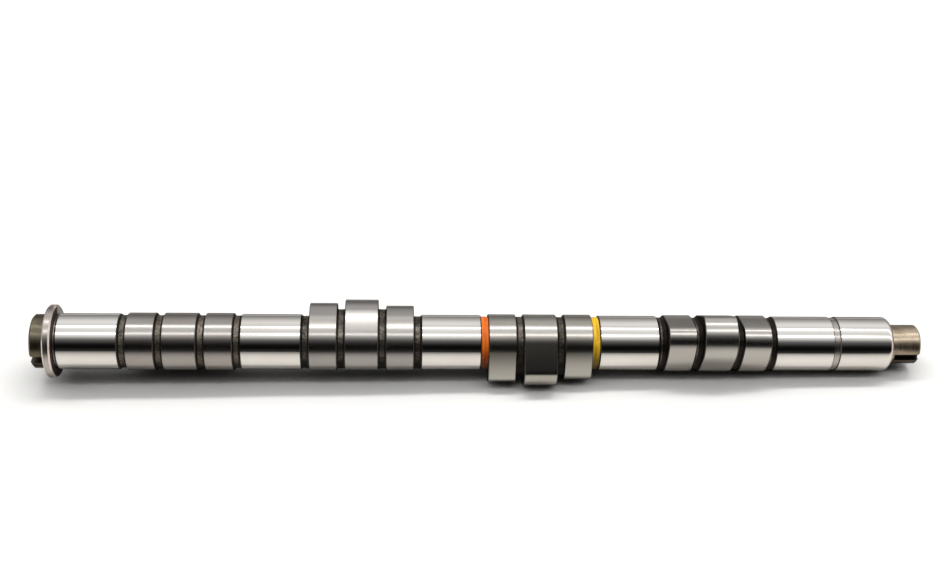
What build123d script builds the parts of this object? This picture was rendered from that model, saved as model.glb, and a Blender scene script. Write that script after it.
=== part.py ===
"""Overhead camshaft for a four-cylinder engine with three lobes on each cylinder.

The shaft is one casting, turned and ground. It lies along +X, from the slotted
rear stub to the keyed nose, with the middle journal's centre at the origin.
Angles about the shaft are counted from +Y towards +Z. The drive slot runs along
Y and the keyway faces -Y, and the shaft lies with +Z up.
"""

from build123d import *
from dataclasses import dataclass
from math import atan2, cos, degrees, radians, sin, sqrt
import os

os.makedirs("parts", exist_ok=True)

# Bearing journals and the cast bar between them
CYLINDER_SPACING = 90.0
CYLINDER_COUNT = 4
JOURNAL_DIAMETER = 28.0
JOURNAL_WIDTH = 30.2
JOURNAL_CHAMFER = 0.5
CORE_DEPTH = 0.8

# Lobes of one cylinder: the middle one stands half way between two journals,
# and their base circle stands a little proud of the journals
BASE_CIRCLE_HEIGHT = 0.45
LOBE_SPACING = 19.25
LOBE_CHAMFER = 0.35
FIRST_NOSE_ANGLE = 296.0
CYLINDER_PHASES = (0.0, 90.0, 270.0, 180.0)

# Cast webs that join the three lobes of a cylinder, raised above the bar under the noses
WEB_LIFT = 3.7
WEB_NOSE_RADIUS = 8.5
WEB_FLANK_RADIUS = 36.0

# Rear end: undercut, thrust flange and slotted drive stub
UNDERCUT_WIDTH = 1.3
UNDERCUT_DEPTH = 0.7
FLANGE_HEIGHT = 4.25
FLANGE_THICKNESS = 3.9
FLANGE_CHAMFER = 0.7
STUB_DIAMETER = 27.0
STUB_LENGTH = 7.4
STUB_CHAMFER = 0.8
DRIVE_SLOT_WIDTH = 4.2
DRIVE_SLOT_ANGLE = 0.0
CENTRE_HOLE_DIAMETER = 2.5
CENTRE_HOLE_DEPTH = 10.0
CENTRE_MOUTH_DIAMETER = 7.5

# Nose end: ring groove, long land and the keyed seat for the timing gear
RING_GROOVE_WIDTH = 2.7
RING_GROOVE_DEPTH = 0.5
LAND_LENGTH = 28.0
LAND_CHAMFER = 1.5
NOSE_DIAMETER = 20.0
NOSE_LENGTH = 15.4
NOSE_CHAMFER = 0.8
KEYWAY_WIDTH = 4.0
KEYWAY_DEPTH = 2.5
KEYWAY_SHOULDER_GAP = 2.1
KEYWAY_ANGLE = 180.0
BOLT_HOLE_DIAMETER = 8.75
BOLT_HOLE_DEPTH = 26.0
BOLT_MOUTH_DIAMETER = 11.0

# Full angle of the centre-drilled cones at both ends
CENTRE_CONE_ANGLE = 60.0


@dataclass
class Lobe:
    """One cam lobe, its nose along its own x axis and its steep flank on the -y side."""

    width: float
    lift: float
    nose_radius: float
    shoulder_angle: float
    shoulder_radius: float
    soft_flank_radius: float
    steep_flank_radius: float
    lead_angle: float


# Rear, middle and front lobe of each cylinder, in that order along +X
LOBES = (
    Lobe(14.0, 5.65, 9.3, 13.0, 3.5, 42.0, 105.0, 7.0),
    Lobe(16.75, 7.75, 12.8, 26.0, 5.0, 80.0, 300.0, 0.0),
    Lobe(14.0, 4.3, 9.8, 20.0, 4.5, 31.0, 55.0, 9.0),
)

journal_radius = JOURNAL_DIAMETER / 2
base_radius = journal_radius + BASE_CIRCLE_HEIGHT
core_radius = journal_radius - CORE_DEPTH
undercut_radius = journal_radius - UNDERCUT_DEPTH
groove_radius = journal_radius - RING_GROOVE_DEPTH
flange_radius = journal_radius + FLANGE_HEIGHT
nose_radius = NOSE_DIAMETER / 2

journal_centres = [
    (number - CYLINDER_COUNT / 2) * CYLINDER_SPACING
    for number in range(CYLINDER_COUNT + 1)
]
rear_journal_start = journal_centres[0] - JOURNAL_WIDTH / 2
flange_front = rear_journal_start - UNDERCUT_WIDTH
flange_rear = flange_front - FLANGE_THICKNESS
stub_end = flange_rear - STUB_LENGTH

front_journal_end = journal_centres[-1] + JOURNAL_WIDTH / 2
land_start = front_journal_end + RING_GROOVE_WIDTH
nose_start = land_start + LAND_LENGTH
nose_end = nose_start + NOSE_LENGTH


def turned(start, end, radius, rear_chamfer=0.0, front_chamfer=0.0):
    """Add one turned length of the shaft, from start to end along its axis."""
    outline = [(start, 0), (start, radius - rear_chamfer)]
    if rear_chamfer:
        outline.append((start + rear_chamfer, radius))
    if front_chamfer:
        outline.append((end - front_chamfer, radius))
    outline += [(end, radius - front_chamfer), (end, 0)]
    with BuildSketch(Plane.XZ) as profile:
        with BuildLine():
            Polyline(*outline, close=True)
        make_face()
    revolve(profile.sketch, axis=Axis.X)


def flank_centre(flank, base, tip, tip_centre, side):
    """Centre of the flank circle that the base circle and a tip circle touch from inside."""
    reach = sqrt(tip_centre[0] ** 2 + tip_centre[1] ** 2)
    from_base = flank - base
    from_tip = flank - tip
    along = (from_base**2 - from_tip**2 + reach**2) / (2 * reach)
    across = side * sqrt(from_base**2 - along**2)
    ux, uy = tip_centre[0] / reach, tip_centre[1] / reach
    return (ux * along - uy * across, uy * along + ux * across)


def direction(start, end):
    """Angle in degrees of the line from one point to another."""
    return degrees(atan2(end[1] - start[1], end[0] - start[0]))


def cam_outline(base, lift, nose, shoulder_angle, shoulder, soft_flank, steep_flank):
    """Draw a cam: base circle, steep flank, shoulder, nose and soft flank, all tangent."""
    turn = radians(shoulder_angle)
    nose_centre = (base + lift - nose, 0.0)
    shoulder_centre = (
        nose_centre[0] + (nose - shoulder) * cos(turn),
        -(nose - shoulder) * sin(turn),
    )
    soft_centre = flank_centre(soft_flank, base, nose, nose_centre, -1)
    steep_centre = flank_centre(steep_flank, base, shoulder, shoulder_centre, 1)

    steep_start = direction(steep_centre, (0, 0))
    steep_end = direction(steep_centre, shoulder_centre)
    soft_start = direction(soft_centre, nose_centre)
    soft_end = direction(soft_centre, (0, 0))

    CenterArc(steep_centre, steep_flank, steep_start, steep_end - steep_start)
    CenterArc(shoulder_centre, shoulder, steep_end, -shoulder_angle - steep_end)
    CenterArc(nose_centre, nose, -shoulder_angle, soft_start + shoulder_angle)
    CenterArc(soft_centre, soft_flank, soft_start, soft_end - soft_start)
    CenterArc((0, 0), base, soft_end, 360 + steep_start - soft_end)


def lobe_blank(lobe):
    """One ground lobe, centred on the origin, with its nose along +Y."""
    with BuildPart() as blank:
        with BuildSketch(Plane.YZ):
            with BuildLine():
                cam_outline(
                    base_radius,
                    lobe.lift,
                    lobe.nose_radius,
                    lobe.shoulder_angle,
                    lobe.shoulder_radius,
                    lobe.soft_flank_radius,
                    lobe.steep_flank_radius,
                )
            make_face()
        extrude(amount=lobe.width / 2, both=True)
        rims = blank.edges().group_by(Axis.X)
        chamfer(rims[0] + rims[-1], length=LOBE_CHAMFER)
    return blank.part


def web_blank(length):
    """One cast web, centred on the origin, raised on the +Y side where the noses are."""
    with BuildPart() as blank:
        with BuildSketch(Plane.YZ):
            with BuildLine():
                cam_outline(
                    core_radius,
                    WEB_LIFT,
                    WEB_NOSE_RADIUS,
                    0.0,
                    WEB_NOSE_RADIUS,
                    WEB_FLANK_RADIUS,
                    WEB_FLANK_RADIUS,
                )
            make_face()
        extrude(amount=length / 2, both=True)
    return blank.part


lobe_blanks = [lobe_blank(lobe) for lobe in LOBES]
web = web_blank(LOBE_SPACING)

with BuildPart() as camshaft:
    # cast bar that carries everything between the first and the last journal
    turned(rear_journal_start, front_journal_end, core_radius)

    # ground bearing journals
    for centre in journal_centres:
        turned(
            centre - JOURNAL_WIDTH / 2,
            centre + JOURNAL_WIDTH / 2,
            journal_radius,
            JOURNAL_CHAMFER,
            JOURNAL_CHAMFER,
        )

    # lobes and webs, turned to the firing order of the cylinders
    for rear_journal, phase in zip(journal_centres, CYLINDER_PHASES):
        middle = rear_journal + CYLINDER_SPACING / 2
        nose_angle = FIRST_NOSE_ANGLE + phase
        for place, lobe, blank in zip((-1, 0, 1), LOBES, lobe_blanks):
            turn = (nose_angle + lobe.lead_angle, 0, 0)
            with Locations((middle + place * LOBE_SPACING, 0, 0)):
                add(blank, rotation=turn)
            if place:
                with Locations((middle + place * LOBE_SPACING / 2, 0, 0)):
                    add(web, rotation=turn)

    # rear end: undercut, thrust flange and drive stub
    turned(flange_front, rear_journal_start, undercut_radius)
    turned(flange_rear, flange_front, flange_radius, FLANGE_CHAMFER, FLANGE_CHAMFER)
    turned(stub_end, flange_rear, STUB_DIAMETER / 2, STUB_CHAMFER)

    # machining centre in the rear face
    with Locations(Plane(origin=(stub_end, 0, 0), z_dir=(-1, 0, 0))):
        CounterSinkHole(
            radius=CENTRE_HOLE_DIAMETER / 2,
            counter_sink_radius=CENTRE_MOUTH_DIAMETER / 2,
            depth=CENTRE_HOLE_DEPTH,
            counter_sink_angle=CENTRE_CONE_ANGLE,
        )

    # slot across the stub that drives what is bolted behind the head
    with BuildSketch(Plane.YZ.offset(stub_end)):
        Rectangle(STUB_DIAMETER * 2, DRIVE_SLOT_WIDTH, rotation=DRIVE_SLOT_ANGLE)
    extrude(amount=STUB_LENGTH, mode=Mode.SUBTRACT)

    # nose end: ring groove, land and gear seat
    turned(front_journal_end, land_start, groove_radius)
    turned(land_start, nose_start, journal_radius, JOURNAL_CHAMFER, LAND_CHAMFER)
    turned(nose_start, nose_end, nose_radius, 0.0, NOSE_CHAMFER)

    # keyway, open at the nose end
    with BuildSketch(Plane.YZ.offset(nose_start + KEYWAY_SHOULDER_GAP)):
        with PolarLocations(nose_radius, 1, start_angle=KEYWAY_ANGLE):
            Rectangle(KEYWAY_DEPTH * 2, KEYWAY_WIDTH)
    extrude(amount=NOSE_LENGTH, mode=Mode.SUBTRACT)

    # tapped hole for the gear bolt
    with Locations(Plane(origin=(nose_end, 0, 0), z_dir=(1, 0, 0))):
        CounterSinkHole(
            radius=BOLT_HOLE_DIAMETER / 2,
            counter_sink_radius=BOLT_MOUTH_DIAMETER / 2,
            depth=BOLT_HOLE_DEPTH,
            counter_sink_angle=CENTRE_CONE_ANGLE,
        )

camshaft.part.label = "camshaft"
export_step(camshaft.part, "parts/camshaft.step")
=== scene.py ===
"""Overhead camshaft lying on a pale floor: the visible mesh, its finishes, the room and the camera."""
from math import atan2, cos, hypot, pi, radians, sin, sqrt, tan

import bpy
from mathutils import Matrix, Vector, noise


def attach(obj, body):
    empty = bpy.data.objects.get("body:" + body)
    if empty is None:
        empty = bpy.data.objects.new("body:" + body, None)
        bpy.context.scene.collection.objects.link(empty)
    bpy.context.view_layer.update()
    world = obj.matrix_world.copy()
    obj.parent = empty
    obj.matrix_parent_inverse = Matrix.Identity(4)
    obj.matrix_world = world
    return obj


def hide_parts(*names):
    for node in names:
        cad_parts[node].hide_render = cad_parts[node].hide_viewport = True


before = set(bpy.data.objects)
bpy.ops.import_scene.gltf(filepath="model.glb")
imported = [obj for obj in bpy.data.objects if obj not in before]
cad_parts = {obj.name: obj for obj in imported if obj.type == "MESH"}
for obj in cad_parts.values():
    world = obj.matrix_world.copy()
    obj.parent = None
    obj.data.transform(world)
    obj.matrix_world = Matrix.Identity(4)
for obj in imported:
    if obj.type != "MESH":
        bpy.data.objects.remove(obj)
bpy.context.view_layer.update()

MM = 0.001

# Sizes of the shaft in millimetres, as the CAD part has them. The shaft lies along X.
SPACING = 90.0
JOURNAL_R, JOURNAL_W, JOURNAL_CHAMFER = 14.0, 30.2, 0.5
CORE_R, BASE_R = 13.2, 14.45
LOBE_SPACING, LOBE_CHAMFER = 19.25, 0.35
NOSE_ANGLES = (296.0, 26.0, 206.0, 116.0)
# Width, lift, nose radius, shoulder angle, shoulder radius, soft flank, steep flank, lead angle
LOBES = (
    (14.0, 5.65, 9.3, 13.0, 3.5, 42.0, 105.0, 7.0),
    (16.75, 7.75, 12.8, 26.0, 5.0, 80.0, 300.0, 0.0),
    (14.0, 4.3, 9.8, 20.0, 4.5, 31.0, 55.0, 9.0),
)
# Lift, nose radius, shoulder angle, shoulder radius and both flanks of a cast web
WEB = (3.7, 8.5, 0.0, 8.5, 36.0, 36.0)

FLANGE_R, FLANGE_CHAMFER = 18.25, 0.7
STUB_R, STUB_CHAMFER = 13.5, 0.8
NOSE_R, NOSE_CHAMFER = 10.0, 0.8
UNDERCUT_R, GROOVE_R = 13.3, 13.5
LAND_CHAMFER = 1.5
X_STUB, X_FLANGE, X_UNDERCUT, X_REAR = -207.7, -200.3, -196.4, -195.1
X_FRONT, X_LAND, X_SHOULDER, X_END = 195.1, 197.8, 225.8, 241.2
SLOT_HALF, KEY_HALF, KEY_FLOOR, X_KEY = 2.1, 2.0, 7.5, 227.9

# Centre hole in the rear face and the gear bolt's hole in the nose, both with a conical mouth
CONE_SLOPE = tan(radians(30.0))
CENTRE_R, CENTRE_MOUTH_R, X_CENTRE_END = 1.25, 3.75, -197.7
DRILL_R, MOUTH_R, X_HOLE_END = 4.375, 5.5, 215.2

# Small shapes that only the scene has: the bolt's thread, fillets at the roots, the roughness of
# the cast floors and a soft end of the long land
THREAD_PITCH, THREAD_DEPTH, X_THREAD_END, RINGS_PER_TURN = 1.25, 0.6, 220.0, 6
TOOTH_HEIGHT, TOOTH_SLOPE = 1.6, 3.2
ROOT_FILLET, REAR_FILLET, NOSE_FILLET = 0.45, 0.3, 0.5
FILLET_BEND = 0.3
# End of the undercut's ring of painted highlight, in millimetres past the flange
UNDERCUT_SHINE = 0.9
CAST_ROUGHNESS, ROOT_ROUGHNESS = 0.1, 0.03
# Cycles of the cast grain in a millimetre, and the strength of its finer layer
COARSE_GRAIN, FINE_GRAIN, FINE_STRENGTH = 0.9, 2.3, 0.6
# Distance before the shoulder in chamfer lengths, depth under the land's radius, finish
LAND_END = (
    (2.0, 0.0, "journal"),
    (1.47, 0.06, "journal"),
    (1.0, 0.22, "journal"),
    # The last three rows round the end in a painted highlight
    (0.67, 0.52, "bright_edge"),
    (0.33, 1.0, "bright_edge"),
    (0.0, LAND_CHAMFER, "bright_edge"),
)

SEGMENTS = 360
HOLE_SEGMENTS = 60


def flank_centre(flank, base, tip, centre, side):
    """Centre of the flank circle that the base circle and a tip circle touch from inside."""
    reach = hypot(*centre)
    along = ((flank - base) ** 2 - (flank - tip) ** 2 + reach**2) / (2 * reach)
    across = side * sqrt((flank - base) ** 2 - along**2)
    ux, uy = centre[0] / reach, centre[1] / reach
    return (ux * along - uy * across, uy * along + ux * across)


def cam_arcs(base, lift, nose, shoulder_angle, shoulder, soft, steep, inset=0.0):
    """Five tangent arcs of a cam as (centre, radius, polar angle where it starts)."""
    turn = radians(shoulder_angle)
    tip = (base + lift - nose, 0.0)
    side = (tip[0] + (nose - shoulder) * cos(turn), -(nose - shoulder) * sin(turn))
    soft_c = flank_centre(soft, base, nose, tip, -1)
    steep_c = flank_centre(steep, base, shoulder, side, 1)

    def start(centre, radius, angle):
        point = (centre[0] + radius * cos(angle), centre[1] + radius * sin(angle))
        return atan2(point[1], point[0])

    a = atan2(-steep_c[1], -steep_c[0])
    b = atan2(side[1] - steep_c[1], side[0] - steep_c[0])
    c = atan2(tip[1] - soft_c[1], tip[0] - soft_c[0])
    d = atan2(-soft_c[1], -soft_c[0])
    return [
        (steep_c, steep - inset, start(steep_c, steep - inset, a)),
        (side, shoulder - inset, start(side, shoulder - inset, b)),
        (tip, nose - inset, start(tip, nose - inset, -turn)),
        (soft_c, soft - inset, start(soft_c, soft - inset, c)),
        ((0.0, 0.0), base - inset, start((0.0, 0.0), base - inset, d)),
    ]


def cam_radii(arcs, turned):
    """Distance from the axis to the cam at each segment's polar angle."""
    radii = []
    first = arcs[0][2]
    for i in range(SEGMENTS):
        angle = (2 * pi * i / SEGMENTS - radians(turned) - first) % (2 * pi) + first
        centre, radius, _ = [arc for arc in arcs if arc[2] <= angle + 1e-9][-1]
        along = centre[0] * cos(angle) + centre[1] * sin(angle)
        radii.append(along + sqrt(along**2 - hypot(*centre) ** 2 + radius**2))
    return radii


def circle(radius, count=SEGMENTS):
    """Radii of a plain round ring."""
    return [radius] * count


def as_cast(x, radii, depth):
    """Rough a ring of radii by a fixed noise of its place on the shaft."""
    rough = []
    for i, r in enumerate(radii):
        angle = 2 * pi * i / len(radii)
        place = Vector((x, r * cos(angle), r * sin(angle)))
        fine = noise.noise(place * FINE_GRAIN)
        grain = noise.noise(place * COARSE_GRAIN) + FINE_STRENGTH * fine
        rough.append(r + depth * grain)
    return rough


# Finishes, in the order of the material slots
FINISHES = (
    "journal", "lobe", "cast", "paint_orange", "paint_yellow", "flange",
    "stub", "nose", "machined", "bright_edge", "edge", "wall",
    "lobe_mid", "lobe_pale", "lobe_sheen", "cast_dark", "flange_face",
)
FINISH = {name: i for i, name in enumerate(FINISHES)}

# Finishes that change from one group of lobes to the next, and the lit share of the groups' gaps
# The lobe tones are lit and shaded copies of one ground finish: painted light and shade
LOBE_TONES = ("lobe", "lobe_sheen", "lobe_mid", "lobe_pale")
GAP_TONES = ("cast", "cast_dark", "cast_dark", "cast")
# Past its lit share, an unpainted gap floor takes the dark wall tone as painted shade
LIT_SHARES = (0.9, 0.9, 0.9, 0.5)
PAINT_MARKS = {(2, 0): "paint_orange", (2, 3): "paint_yellow"}

rings = []


def ring(x, radii, finish):
    """Add a ring, and name the finish of the band from the last ring to this one."""
    rings.append((x, list(radii), FINISH[finish]))


def gap(x0, x1, radii, finish, lit):
    """Floor of a cast gap between two ground faces, with small root fillets and dark roots as painted
    shade.

    The finish reaches from a little past the first root to the lit share of the width; in unpainted
    gaps the rest is dark wall tone, a painted shade.
    """
    painted = finish.startswith("paint")
    side = finish if painted else "wall"
    margin = 0.15 if painted else 0.2
    bend = FILLET_BEND * ROOT_FILLET
    corner = [r + ROOT_FILLET for r in radii]
    foot = [r + bend for r in radii]
    ring(x0, corner, "wall")
    ring(x0 + bend, as_cast(x0, foot, ROOT_ROUGHNESS), side)
    for step in (margin, 0.4, 0.6, 1.0 - margin):
        x = x0 + (x1 - x0) * step
        ring(x, as_cast(x, radii, CAST_ROUGHNESS), finish if margin < step <= lit else side)
    ring(x1 - bend, as_cast(x1, foot, ROOT_ROUGHNESS), side)
    ring(x1, corner, "wall")


def journal(centre):
    """One ground bearing journal with chamfered edges."""
    x0, x1 = centre - JOURNAL_W / 2, centre + JOURNAL_W / 2
    ring(x0, circle(JOURNAL_R - JOURNAL_CHAMFER), "wall")
    ring(x0 + JOURNAL_CHAMFER, circle(JOURNAL_R), "edge")
    ring(x1 - JOURNAL_CHAMFER, circle(JOURNAL_R), "journal")
    ring(x1, circle(JOURNAL_R - JOURNAL_CHAMFER), "edge")


def lobe(centre, spec, nose_angle, finish):
    """One ground lobe with chamfered edges, its nose turned by its group's angle and its lead."""
    width, form, lead = spec[0], spec[1:7], spec[7]
    full = cam_radii(cam_arcs(BASE_R, *form), nose_angle + lead)
    small = cam_radii(cam_arcs(BASE_R, *form, inset=LOBE_CHAMFER), nose_angle + lead)
    x0, x1 = centre - width / 2, centre + width / 2
    ring(x0, small, "wall")
    ring(x0 + LOBE_CHAMFER, full, "edge")
    ring(x1 - LOBE_CHAMFER, full, finish)
    ring(x1, small, "edge")


# Rear end, from the bottom of its centre hole outwards
ring(X_CENTRE_END, circle(CENTRE_R, HOLE_SEGMENTS), "machined")
x_cone = X_STUB + (CENTRE_MOUTH_R - CENTRE_R) / CONE_SLOPE
ring(x_cone, circle(CENTRE_R, HOLE_SEGMENTS), "machined")
ring(X_STUB, circle(CENTRE_MOUTH_R, HOLE_SEGMENTS), "machined")
ring(X_STUB, circle(STUB_R - STUB_CHAMFER), "stub")
ring(X_STUB + STUB_CHAMFER, circle(STUB_R), "stub")
ring(X_FLANGE - REAR_FILLET, circle(STUB_R), "stub")
ring(X_FLANGE, circle(STUB_R + REAR_FILLET), "stub")
# Flange, whose chamfers carry a painted highlight
ring(X_FLANGE, circle(FLANGE_R - FLANGE_CHAMFER), "flange")
ring(X_FLANGE + FLANGE_CHAMFER, circle(FLANGE_R), "bright_edge")
ring(X_UNDERCUT - FLANGE_CHAMFER, circle(FLANGE_R), "flange")
ring(X_UNDERCUT, circle(FLANGE_R - FLANGE_CHAMFER), "bright_edge")
ring(X_UNDERCUT, circle(UNDERCUT_R + REAR_FILLET), "flange_face")
# Undercut: its fillet and wall dark as painted shade, with a ring of painted highlight between them
ring(X_UNDERCUT + REAR_FILLET, circle(UNDERCUT_R), "wall")
ring(X_UNDERCUT + UNDERCUT_SHINE, circle(UNDERCUT_R), "bright_edge")
ring(X_REAR, circle(UNDERCUT_R), "wall")

# Journals, and the groups of three lobes and four gaps between them
for group, nose_angle in enumerate(NOSE_ANGLES):
    journal((group - 2) * SPACING)
    middle = (group - 1.5) * SPACING
    centres = [middle + place * LOBE_SPACING for place in (-1, 0, 1)]
    start = middle - SPACING / 2 + JOURNAL_W / 2
    webs = [cam_radii(cam_arcs(CORE_R, *WEB), nose_angle + LOBES[k][7]) for k in (0, 2)]
    floors = [circle(CORE_R), *webs, circle(CORE_R)]
    for k, radii in enumerate(floors):
        last = k == len(LOBES)
        end = middle + SPACING / 2 - JOURNAL_W / 2 if last else centres[k] - LOBES[k][0] / 2
        finish = PAINT_MARKS.get((group, k), GAP_TONES[group])
        gap(start, end, radii, finish, LIT_SHARES[group])
        if not last:
            lobe(centres[k], LOBES[k], nose_angle, LOBE_TONES[group])
            start = centres[k] + LOBES[k][0] / 2
journal(2 * SPACING)

# Nose end: ring groove, long land and gear seat
ring(X_FRONT, circle(GROOVE_R), "wall")
ring(X_LAND, circle(GROOVE_R), "flange")
ring(X_LAND + JOURNAL_CHAMFER, circle(JOURNAL_R), "edge")
for before, depth, finish in LAND_END:
    ring(X_SHOULDER - before * LAND_CHAMFER, circle(JOURNAL_R - depth), finish)
bend = FILLET_BEND * NOSE_FILLET
ring(X_SHOULDER, circle(NOSE_R + NOSE_FILLET), "nose")
ring(X_SHOULDER + bend, circle(NOSE_R + bend), "nose")
ring(X_SHOULDER + NOSE_FILLET, circle(NOSE_R), "nose")
ring(X_END - NOSE_CHAMFER, circle(NOSE_R), "nose")
ring(X_END, circle(NOSE_R - NOSE_CHAMFER), "nose")


def thread(x):
    """Radii round a right-hand thread at one place along the hole."""
    cone = MOUTH_R - (X_END - x) * CONE_SLOPE
    fade = min(1.0, (x - X_THREAD_END) / THREAD_PITCH)
    radii = []
    for i in range(HOLE_SEGMENTS):
        wave = (x / THREAD_PITCH - i / HOLE_SEGMENTS) % 1.0
        tooth = min(1.0, max(0.0, TOOTH_HEIGHT - TOOTH_SLOPE * abs(wave - 0.5)))
        radii.append(max(cone, DRILL_R + THREAD_DEPTH * tooth * fade))
    return radii


# Mouth, thread and bottom of the gear bolt's hole
ring(X_END, circle(MOUTH_R, HOLE_SEGMENTS), "nose")
steps = int((X_END - X_THREAD_END) / THREAD_PITCH * RINGS_PER_TURN)
for k in range(1, steps):
    x = X_END - (X_END - X_THREAD_END) * k / steps
    ring(x, thread(x), "machined")
ring(X_THREAD_END, circle(DRILL_R, HOLE_SEGMENTS), "machined")
ring(X_HOLE_END, circle(DRILL_R, HOLE_SEGMENTS), "machined")


def solid(name, points, faces, finishes):
    """Object of one mesh, from points in millimetres and one finish number for each face."""
    mesh = bpy.data.meshes.new(name)
    mesh.from_pydata([tuple(c * MM for c in point) for point in points], [], faces)
    mesh.polygons.foreach_set("material_index", finishes)
    mesh.update()
    thing = bpy.data.objects.new(name, mesh)
    bpy.context.collection.objects.link(thing)
    return thing


def skin(name):
    """Join the rings into one closed mesh, with a pole at each hole's bottom."""
    points, starts = [], []
    for x, radii, _ in rings:
        starts.append(len(points))
        for i, r in enumerate(radii):
            angle = 2 * pi * i / len(radii)
            points.append((x, r * cos(angle), r * sin(angle)))
    faces, finishes = [], []
    for k in range(1, len(rings)):
        # a ring with more points than its neighbour gives several of them to each face
        before, after = len(rings[k - 1][1]), len(rings[k][1])
        a, b = starts[k - 1], starts[k]
        count = min(before, after)
        m, n = before // count, after // count
        for i in range(count):
            lower = [a + (i * m + j) % before for j in range(m + 1)]
            upper = [b + (i * n + j) % after for j in range(n, -1, -1)]
            faces.append(lower + upper)
            finishes.append(rings[k][2])
    for k, outward in ((0, False), (len(rings) - 1, True)):
        pole, count, start = len(points), len(rings[k][1]), starts[k]
        points.append((rings[k][0], 0.0, 0.0))
        for i in range(count):
            pair = [start + i, start + (i + 1) % count]
            faces.append([pole] + (pair if outward else pair[::-1]))
            finishes.append(rings[k][2])
    return solid(name, points, faces, finishes)


def box(name, low, high, finish):
    """Box between two corners, used as a cutter."""
    corners = [
        (x, y, z) for x in (low[0], high[0]) for y in (low[1], high[1]) for z in (low[2], high[2])
    ]
    quads = [(0, 1, 3, 2), (4, 6, 7, 5), (0, 4, 5, 1), (2, 3, 7, 6), (0, 2, 6, 4), (1, 5, 7, 3)]
    return solid(name, corners, quads, [FINISH[finish]] * len(quads))


shaft = skin("camshaft_skin")
# The cutters reach well past the shaft on their open sides
cutters = [
    box("slot_cutter", (X_STUB - 5, -30, -SLOT_HALF), (X_FLANGE, 30, SLOT_HALF), "machined"),
    box("key_cutter", (X_KEY, -20, -KEY_HALF), (X_END + 5, -KEY_FLOOR, KEY_HALF), "machined"),
]


class Nodes:
    """Small helper to add and wire the nodes of one tree."""

    def __init__(self, tree):
        self.tree = tree

    def node(self, kind, **settings):
        made = self.tree.nodes.new(kind)
        for key, value in settings.items():
            setattr(made, key, value)
        return made

    def link(self, source, target):
        self.tree.links.new(source, target)

    def maths(self, operation, *values, clamp=False):
        """Maths node; each value is a number or a socket."""
        made = self.node("ShaderNodeMath", operation=operation, use_clamp=clamp)
        for socket, value in zip(made.inputs, values):
            if isinstance(value, (int, float)):
                socket.default_value = value
            else:
                self.link(value, socket)
        return made.outputs[0]

    def axes(self, vector):
        """The three coordinates of a vector."""
        split = self.node("ShaderNodeSeparateXYZ")
        self.link(vector, split.inputs[0])
        return split.outputs

    def ramp(self, source, stops):
        """Colour ramp through stops of a position and a colour."""
        made = self.node("ShaderNodeValToRGB")
        elements = made.color_ramp.elements
        while len(elements) < len(stops):
            elements.new(0.5)
        for element, (at, colour) in zip(elements, stops):
            element.position = at
            element.color = (*colour, 1.0)
        self.link(source, made.inputs["Fac"])
        return made.outputs["Color"]

    def span(self, source, low, high, from_low=0.3, from_high=0.7, **settings):
        """Map one range of values to another, and hold its ends outside it."""
        made = self.node("ShaderNodeMapRange", **settings)
        made.inputs["From Min"].default_value = from_low
        made.inputs["From Max"].default_value = from_high
        made.inputs["To Min"].default_value = low
        made.inputs["To Max"].default_value = high
        self.link(source, made.inputs["Value"])
        return made.outputs["Result"]

    def mix(self, factor, first, second):
        """Mix two colours, each a tuple or a socket."""
        made = self.node("ShaderNodeMix", data_type="RGBA")
        self.link(factor, made.inputs["Factor"])
        colours = [s for s in made.inputs if s.type == "RGBA"]
        for socket, value in zip(colours, (first, second)):
            if isinstance(value, tuple):
                socket.default_value = (*value, 1.0)
            else:
                self.link(value, socket)
        return [s for s in made.outputs if s.type == "RGBA"][0]


class Shader(Nodes):
    """The nodes of one material, with the place on the object in metres at hand."""

    def __init__(self, name):
        self.material = bpy.data.materials.new(name)
        self.material.use_nodes = True
        super().__init__(self.material.node_tree)
        self.bsdf = self.tree.nodes["Principled BSDF"]
        self.place = self.node("ShaderNodeTexCoord").outputs["Object"]

    def noise(self, scale, stretch=(1, 1, 1), detail=2.0, roughness=0.5):
        """Noise of the place on the object; scale is in cycles per metre."""
        mapping = self.node("ShaderNodeMapping")
        mapping.inputs["Scale"].default_value = stretch
        self.link(self.place, mapping.inputs["Vector"])
        grain = self.node("ShaderNodeTexNoise")
        grain.inputs["Scale"].default_value = scale
        grain.inputs["Detail"].default_value = detail
        grain.inputs["Roughness"].default_value = roughness
        self.link(mapping.outputs["Vector"], grain.inputs["Vector"])
        return grain.outputs["Fac"]

    def colour(self, source):
        self.link(source, self.bsdf.inputs["Base Color"])

    def roughness(self, source):
        self.link(source, self.bsdf.inputs["Roughness"])

    def bump(self, height, strength, distance):
        """Bump the surface by a height, with the distance in metres."""
        made = self.node("ShaderNodeBump")
        made.inputs["Strength"].default_value = strength
        made.inputs["Distance"].default_value = distance
        self.link(height, made.inputs["Height"])
        self.link(made.outputs["Normal"], self.bsdf.inputs["Normal"])


# Half the soft edge of a painted sheen band, as an angle about the shaft in radians
SHEEN_EDGE = 0.06


def shade_below(s, shade, dark, low, high):
    """Painted shade: darken a colour towards the underside of the shaft, fading out between two
    heights.
    """
    return s.mix(s.span(s.axes(s.place)["Z"], 0.0, 1.0, low, high), dark, shade)


def painted_sheen(s, shade, sheen_tone, start, end):
    """Painted sheen: lighten a colour between two angles about the shaft, counted from +Y towards +Z.
    """
    place = s.axes(s.place)
    angle = s.maths("ARCTAN2", place["Z"], place["Y"])
    away = s.maths("ABSOLUTE", s.maths("SUBTRACT", angle, radians((start + end) / 2)))
    half = radians((end - start) / 2)
    inside = s.span(away, 1.0, 0.0, half - SHEEN_EDGE, half + SHEEN_EDGE)
    return s.mix(inside, shade, sheen_tone)


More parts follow.
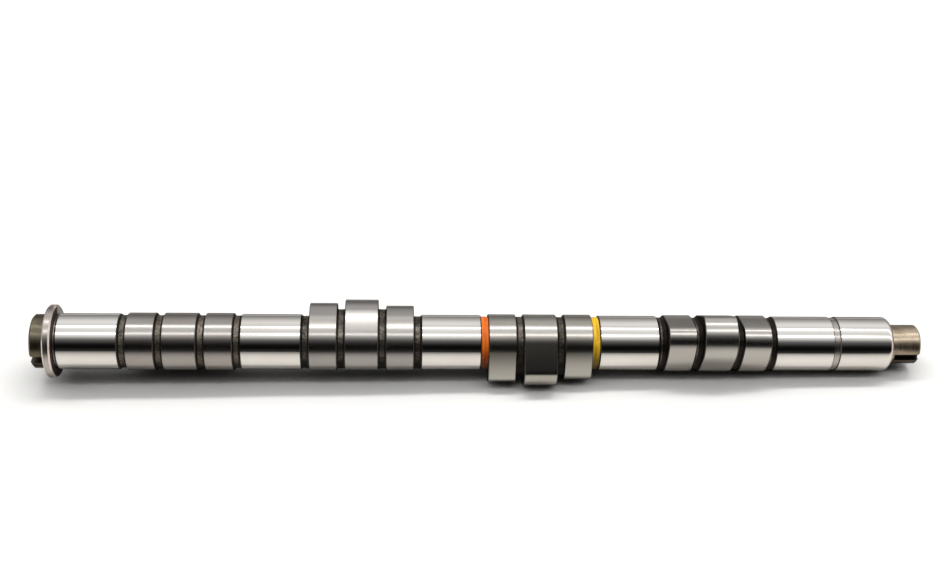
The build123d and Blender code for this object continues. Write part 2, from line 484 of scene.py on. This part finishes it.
def ground(
    name, pale, tint, rough, lines,
    anisotropic=0.0, patch=45.0, line_scale=2600.0, shade_under=None, sheen_band=None,
):
    """Ground or turned metal: fine lines round the shaft and a faint patchy tint.

    The shade underneath and the sheen band, both painted, are the arguments after the colour of the
    functions that paint them.
    """
    s = Shader(name)
    s.bsdf.inputs["Metallic"].default_value = 1.0
    tone = s.noise(patch, (0.6, 1.0, 1.0), detail=3.0)
    shade = s.ramp(tone, [(0.35, pale), (0.72, tint)])
    if shade_under:
        shade = shade_below(s, shade, *shade_under)
    if sheen_band:
        shade = painted_sheen(s, shade, *sheen_band)
    s.colour(shade)
    grain = s.noise(1.0, (line_scale, 60.0, 60.0), detail=1.5)
    s.roughness(s.span(grain, *rough))
    s.bump(grain, 1.0, lines)
    if anisotropic:
        tangent = s.node("ShaderNodeTangent", direction_type="RADIAL", axis="X")
        s.bsdf.inputs["Anisotropic"].default_value = anisotropic
        s.bsdf.inputs["Anisotropic Rotation"].default_value = 0.25
        s.link(tangent.outputs["Tangent"], s.bsdf.inputs["Tangent"])
    return s


def cast(name, dark, light, metallic, rough, shade_heights=None):
    """Rough cast skin, dark with scale and lighter on its high grains."""
    s = Shader(name)
    s.bsdf.inputs["Metallic"].default_value = metallic
    grain = s.noise(900.0, detail=4.0, roughness=0.6)
    patch = s.noise(130.0, detail=3.0)
    shade = s.ramp(s.maths("MULTIPLY", grain, patch), [(0.12, dark), (0.42, light)])
    # With its heights given, painted shade darkens the colour towards the underside
    s.colour(shade_below(s, shade, dark, *shade_heights) if shade_heights else shade)
    s.roughness(s.span(grain, rough[1], rough[0]))
    s.bump(grain, 0.7, 0.00012)
    return s


def paint(name, bright, deep, bare, shaded_tone):
    """Brushed paint mark on the cast floor, rubbed through to bare iron in spots, with painted shade
    underneath.
    """
    s = Shader(name)
    grain = s.noise(700.0, (1.0, 0.6, 0.6), detail=3.0)
    patch = s.noise(1.0, (850.0, 70.0, 70.0), detail=3.0, roughness=0.6)
    brushed = s.ramp(patch, [(0.35, deep), (0.6, bright)])
    cover = s.ramp(grain, [(0.27, (0.0, 0.0, 0.0)), (0.33, (1.0, 1.0, 1.0))])
    # Painted shade darkens the paint towards the underside
    s.colour(shade_below(s, s.mix(cover, bare, brushed), shaded_tone, -0.013, 0.005))
    s.roughness(s.span(grain, 0.6, 0.35))
    s.bump(grain, 0.5, 0.0001)
    return s


shaders = {
    "journal": ground(
        "journal_ground", (0.76, 0.745, 0.72), (0.72, 0.69, 0.66), (0.06, 0.10), 2.0e-7, 0.5,
    ),
    # The four lobe tones are lit and shaded copies of one ground finish (painted light and shade); the
    # first three also carry a painted sheen band facing up and to the front
    "lobe": ground(
        "lobe_ground_dark", (0.355, 0.343, 0.33), (0.33, 0.295, 0.275), (0.21, 0.24), 1.2e-7, 0.4,
        sheen_band=((0.45, 0.435, 0.41), 99.0, 118.0),
    ),
    "lobe_sheen": ground(
        "lobe_ground_sheen", (0.345, 0.333, 0.322), (0.31, 0.295, 0.283), (0.21, 0.24), 1.2e-7, 0.4,
        sheen_band=((0.50, 0.48, 0.455), 78.0, 117.0),
    ),
    "lobe_mid": ground(
        "lobe_ground_mid", (0.41, 0.40, 0.37), (0.37, 0.35, 0.315), (0.21, 0.24), 1.2e-7, 0.4,
        sheen_band=((0.52, 0.505, 0.475), 99.0, 118.0),
    ),
    "lobe_pale": ground(
        "lobe_ground_pale", (0.47, 0.458, 0.43), (0.43, 0.405, 0.385), (0.21, 0.25), 1.2e-7, 0.4,
    ),
    # Cast floors, with painted shade towards the underside
    "cast": cast(
        "cast_iron", (0.028, 0.024, 0.02), (0.28, 0.245, 0.205), 0.95, (0.32, 0.46),
        shade_heights=(-0.006, 0.009),
    ),
    # A darker copy of the cast finish, for the gaps of the second and third groups
    "cast_dark": cast(
        "cast_iron_dark", (0.012, 0.011, 0.009), (0.25, 0.22, 0.185), 0.95, (0.28, 0.42),
        shade_heights=(-0.001, 0.010),
    ),
    # Each paint's last colour is its painted shade underneath
    "paint_orange": paint(
        "paint_orange", (0.86, 0.20, 0.016), (0.60, 0.085, 0.002), (0.05, 0.02, 0.01),
        (0.12, 0.016, 0.002),
    ),
    "paint_yellow": paint(
        "paint_yellow", (0.90, 0.56, 0.03), (0.56, 0.29, 0.002), (0.07, 0.045, 0.01),
        (0.30, 0.20, 0.04),
    ),
    "flange": ground(
        "flange_turned", (0.50, 0.47, 0.44), (0.34, 0.30, 0.28), (0.22, 0.3), 1.2e-6, 0.3,
        patch=90.0, line_scale=1700.0,
    ),
    # The flange's inner face: painted shade towards the bottom and a painted reflection on its upper
    # back part
    "flange_face": ground(
        "flange_face", (0.15, 0.13, 0.12), (0.11, 0.095, 0.088), (0.40, 0.5), 1.2e-6,
        patch=90.0, line_scale=1700.0,
        shade_under=((0.04, 0.035, 0.03), -0.011, -0.003),
        sheen_band=((0.70, 0.68, 0.66), 5.0, 56.0),
    ),
    # The rear stub: dark oxide, with painted shade towards the underside
    "stub": ground(
        "stub_oxide", (0.19, 0.165, 0.12), (0.09, 0.075, 0.055), (0.26, 0.36), 1.2e-6, 0.2,
        patch=120.0, line_scale=1700.0,
        shade_under=((0.02, 0.017, 0.013), -0.005, 0.006),
    ),
    # The gear seat: bronze tone, with painted shade towards the underside
    "nose": ground(
        "nose_bronze", (0.51, 0.43, 0.32), (0.29, 0.225, 0.165), (0.26, 0.36), 1.0e-6, 0.3,
        patch=150.0, line_scale=1700.0,
        shade_under=((0.10, 0.075, 0.055), -0.003, 0.0058),
    ),
    # Inside the holes, the slot and the keyway: dark as painted shade
    "machined": ground(
        "machined_inside", (0.09, 0.08, 0.07), (0.05, 0.043, 0.037), (0.3, 0.4), 1.0e-6,
        patch=200.0, line_scale=1500.0,
    ),
    # Chamfers, the undercut's ring and the land's rounded end: pale as a painted highlight
    "bright_edge": ground(
        "bright_chamfer", (0.80, 0.72, 0.69), (0.7, 0.6, 0.57), (0.2, 0.28), 8.0e-7,
    ),
    # Chamfers along the journals, lobes and land: dark as painted shade
    "edge": ground(
        "edge_chamfer", (0.10, 0.095, 0.09), (0.06, 0.055, 0.05), (0.25, 0.35), 4.0e-7,
    ),
    # Side walls, roots and shaded parts of the gaps: dark cast skin, made near black as painted shade
    "wall": cast("side_wall", (0.008, 0.006, 0.005), (0.035, 0.029, 0.025), 0.8, (0.4, 0.6)),
}
# Painted shade at the outline: the metal mirrors less at grazing angles, which darkens the shaft's
# edges
GRAZING_SHADE = (0.6, 0.6, 0.6, 1.0)
for shader in shaders.values():
    shader.bsdf.inputs["Specular Tint"].default_value = GRAZING_SHADE

for name in FINISHES:
    shaft.data.materials.append(shaders[name].material)
for cutter in cutters:
    for name in FINISHES:
        cutter.data.materials.append(shaders[name].material)
    cut = shaft.modifiers.new("cut", "BOOLEAN")
    cut.operation = "DIFFERENCE"
    cut.solver = "EXACT"
    cut.object = cutter

# Edges that turn by more degrees than this stay sharp
SHARP_ANGLE = 28
graph = bpy.context.evaluated_depsgraph_get()
cut_mesh = bpy.data.meshes.new_from_object(shaft.evaluated_get(graph))
shaft.modifiers.clear()
shaft.data = cut_mesh
cut_mesh.name = "camshaft_skin"
for cutter in cutters:
    bpy.data.objects.remove(cutter, do_unlink=True)
cut_mesh.polygons.foreach_set("use_smooth", [True] * len(cut_mesh.polygons))
cut_mesh.set_sharp_from_angle(angle=radians(SHARP_ANGLE))

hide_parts("camshaft")
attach(shaft, "root")

# The hidden solid carries the lobe finish too
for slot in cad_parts["camshaft"].material_slots:
    slot.material = shaders["lobe"].material

# The floor that the shaft rests on: its normal, its height at the origin and its extent in metres
UP = Vector((-0.01987, 0.058241, 0.998105)).normalized()
FLOOR_HEIGHT = -18.50 * MM
FLOOR_HALF_WIDTH, FLOOR_FRONT, FLOOR_BACK = 1.6, -1.4, 1.6


def on_floor(x, y):
    """The floor's point over or under a place."""
    return (x, y, (FLOOR_HEIGHT - UP.x * x - UP.y * y) / UP.z)


floor_corners = [
    on_floor(-FLOOR_HALF_WIDTH, FLOOR_FRONT),
    on_floor(FLOOR_HALF_WIDTH, FLOOR_FRONT),
    on_floor(FLOOR_HALF_WIDTH, FLOOR_BACK),
    on_floor(-FLOOR_HALF_WIDTH, FLOOR_BACK),
]
floor_mesh = bpy.data.meshes.new("floor")
floor_mesh.from_pydata(floor_corners, [], [(0, 1, 2, 3)])
floor_mesh.update()
floor_thing = bpy.data.objects.new("floor", floor_mesh)
bpy.context.collection.objects.link(floor_thing)

# How bright polished metal mirrors the floor, by its distance behind the shaft in metres. These tones
# are painted shade seen only in reflections: a painted shadow band from 38 to 105 mm behind the shaft,
# and shade that deepens towards the front
FLOOR_SHADES = (
    (-0.40, 0.24), (-0.19, 0.38), (-0.126, 0.52), (-0.087, 0.63), (-0.062, 0.71), (-0.04, 0.77),
    (0.028, 0.79), (0.038, 0.22), (0.105, 0.22), (0.150, 0.50), (0.200, 0.62),
)
MIRRORED_TINT = (1.0, 0.968, 0.918)
# The camera sees the floor near the shaft in the first tone; it turns white with the distance
NEAR_TONE, FAR_TONE = (0.86, 0.86, 0.85), (1.0, 1.0, 1.0)
NEAR, FAR = 0.30, 0.75
# Tone of the floor for all light that bounces on it
BOUNCE_TONE = (0.12, 0.12, 0.118)

paper = Shader("floor_paper")
paper.tree.nodes.remove(paper.bsdf)
rays = paper.node("ShaderNodeLightPath").outputs
seen = paper.maths("MAXIMUM", rays["Is Camera Ray"], rays["Is Glossy Ray"])
unbounced = paper.maths("SUBTRACT", 1.0, rays["Diffuse Depth"], clamp=True)
direct = paper.maths("MULTIPLY", seen, unbounced)

first_y, last_y = FLOOR_SHADES[0][0], FLOOR_SHADES[-1][0]
depth = paper.span(paper.axes(paper.place)["Y"], 0.0, 1.0, first_y, last_y)
shades = [
    ((y - first_y) / (last_y - first_y), tuple(tone * part for part in MIRRORED_TINT))
    for y, tone in FLOOR_SHADES
]
distance = paper.node("ShaderNodeVectorMath", operation="LENGTH")
paper.link(paper.place, distance.inputs[0])
far = paper.span(distance.outputs["Value"], 0.0, 1.0, NEAR, FAR)
plain_floor = paper.mix(far, NEAR_TONE, FAR_TONE)
shown_floor = paper.mix(rays["Is Camera Ray"], paper.ramp(depth, shades), plain_floor)
matt = paper.node("ShaderNodeBsdfDiffuse")
paper.link(paper.mix(direct, BOUNCE_TONE, shown_floor), matt.inputs["Color"])
paper.link(matt.outputs["BSDF"], paper.tree.nodes["Material Output"].inputs["Surface"])
floor_mesh.materials.append(paper.material)

# Light of the room by its angle over the shaft: 0 at the camera's horizon, 90 overhead, 180 behind
ROOM = (
    (-180.0, 0.40), (-90.0, 0.05), (0.0, 0.04), (13.0, 0.005), (22.0, 0.004), (30.0, 0.012),
    (38.0, 0.06), (47.0, 0.14), (55.0, 0.42), (60.0, 0.75), (64.0, 0.98), (69.4, 1.05),
    (70.2, 4.3), (74.2, 4.3), (75.0, 1.05), (80.0, 0.98), (86.0, 0.85), (91.0, 0.98),
    (96.0, 1.15), (101.8, 1.15), (102.6, 6.0), (106.0, 6.0), (106.8, 1.0), (115.0, 0.86),
    (125.0, 1.0), (137.0, 0.88), (150.0, 0.60), (167.0, 0.38), (180.0, 0.28),
)
# A colour ramp holds no more than 1, so the levels are stored as shares of this one
ROOM_TOP = 6.0
# Turn of the floor about X in degrees, by which the room is turned too
FLOOR_ROLL = 3.34
ROOM_TINT = (1.0, 0.99, 0.975, 1.0)
WHITE = (1.0, 1.0, 1.0, 1.0)
# The room's low parts behind and in front are mirrored in the metal in full, and everything else
# loses this share of their light over these angles
LOW_BEHIND, LOW_IN_FRONT, LOW_LOSS = (130.0, 148.0), (60.0, 46.0), 0.85
# Towards the two ends the room is evenly bright; the fade is a share of the direction's length
END_FADE, END_LEVEL, END_LOSS = (0.82, 0.95), 0.9, 0.75

world = bpy.data.worlds.new("room")
bpy.context.scene.world = world
world.use_nodes = True
room = Nodes(world.node_tree)
room.tree.nodes.clear()


def place_in_turn(angle):
    """An angle over the shaft as a share of the whole turn."""
    return angle / 360 + 0.5


def background(strength, colour):
    """Background shader; its strength is a number or a socket."""
    made = room.node("ShaderNodeBackground")
    made.inputs["Color"].default_value = colour
    if isinstance(strength, float):
        made.inputs["Strength"].default_value = strength
    else:
        room.link(strength, made.inputs["Strength"])
    return made.outputs[0]


def fade(source, start, end):
    """Smooth step of a value from a start to an end."""
    return room.span(source, 0.0, 1.0, start, end, interpolation_type="SMOOTHSTEP")


def low_part(start, end):
    """How far the room's angle has passed from the start to the end of a fade."""
    return fade(share, place_in_turn(start), place_in_turn(end))


dx, dy, dz = room.axes(room.node("ShaderNodeTexCoord").outputs["Generated"])
turn = room.maths("ARCTAN2", dz, room.maths("MULTIPLY", dy, -1.0))
share = room.maths("ADD", room.maths("DIVIDE", turn, 2 * pi), 0.5 - FLOOR_ROLL / 360)
stops = [(place_in_turn(angle), (level / ROOM_TOP,) * 3) for angle, level in ROOM]
level = room.maths("MULTIPLY", room.ramp(share, stops), ROOM_TOP)
rays = room.node("ShaderNodeLightPath").outputs
unseen = room.maths("SUBTRACT", 1.0, rays["Is Glossy Ray"], clamp=True)

low = room.maths("MAXIMUM", low_part(*LOW_BEHIND), low_part(*LOW_IN_FRONT))
loss = room.maths("MULTIPLY", room.maths("MULTIPLY", low, unseen), LOW_LOSS)
level = room.maths("MULTIPLY", level, room.maths("SUBTRACT", 1.0, loss))

ends = fade(room.maths("ABSOLUTE", dx), *END_FADE)
above = room.maths("GREATER_THAN", dz, 0.0)
end_level = room.maths("SUBTRACT", END_LEVEL, room.maths("MULTIPLY", unseen, END_LOSS))
end_level = room.maths("MULTIPLY", above, end_level)
level = room.maths("MULTIPLY", level, room.maths("SUBTRACT", 1.0, ends))
level = room.maths("ADD", level, room.maths("MULTIPLY", end_level, ends))

# The camera sees plain white behind everything
shown = room.maths("MAXIMUM", rays["Is Camera Ray"], rays["Is Transmission Ray"])
choose = room.node("ShaderNodeMixShader")
room.link(shown, choose.inputs["Fac"])
room.link(background(level, ROOM_TINT), choose.inputs[1])
room.link(background(1.0, WHITE), choose.inputs[2])
room.link(choose.outputs[0], room.node("ShaderNodeOutputWorld").inputs["Surface"])

# Two long lamps where the room's bright strips are, by angle and power; polished metal shows the
# strips themselves
LAMPS = ((101.4, 20.0), (72.4, 2.0))
LAMP_DISTANCE, LAMP_LENGTH, LAMP_WIDTH = 2.2, 2.4, 0.2
for number, (angle, power) in enumerate(LAMPS):
    polar = radians(180.0 - FLOOR_ROLL - angle)
    away = Vector((0.0, cos(polar), sin(polar)))
    lamp = bpy.data.lights.new("strip_%d" % number, "AREA")
    lamp.shape = "RECTANGLE"
    lamp.size, lamp.size_y = LAMP_LENGTH, LAMP_WIDTH
    lamp.energy = power
    lamp_thing = bpy.data.objects.new("strip_%d" % number, lamp)
    lamp_thing.location = away * LAMP_DISTANCE
    lamp_thing.rotation_euler = away.to_track_quat("Z", "Y").to_euler()
    lamp_thing.visible_glossy = False
    bpy.context.collection.objects.link(lamp_thing)

# The camera's place and its three axes, as fitted to the photo
CAMERA_PLACE = Vector((-0.02926999, -0.46947475, 0.46532621))
RIGHT = Vector((0.99823686, -0.03953218, 0.04426715))
TOP = Vector((-0.00583561, 0.67687382, 0.73607592))
BACK = Vector((-0.0590618, -0.73503675, 0.67544996))

camera = bpy.data.cameras.new("camera")
camera.sensor_width = 36.0
camera.lens = 49.7157
camera.clip_start = 0.01
camera_thing = bpy.data.objects.new("camera", camera)
bpy.context.collection.objects.link(camera_thing)
matrix = camera_thing.matrix_world.copy()
for column, axis in enumerate((RIGHT, TOP, BACK, CAMERA_PLACE)):
    for row in range(3):
        matrix[row][column] = axis[row]
camera_thing.matrix_world = matrix
bpy.context.scene.camera = camera_thing
bpy.context.scene.view_settings.view_transform = "Standard"
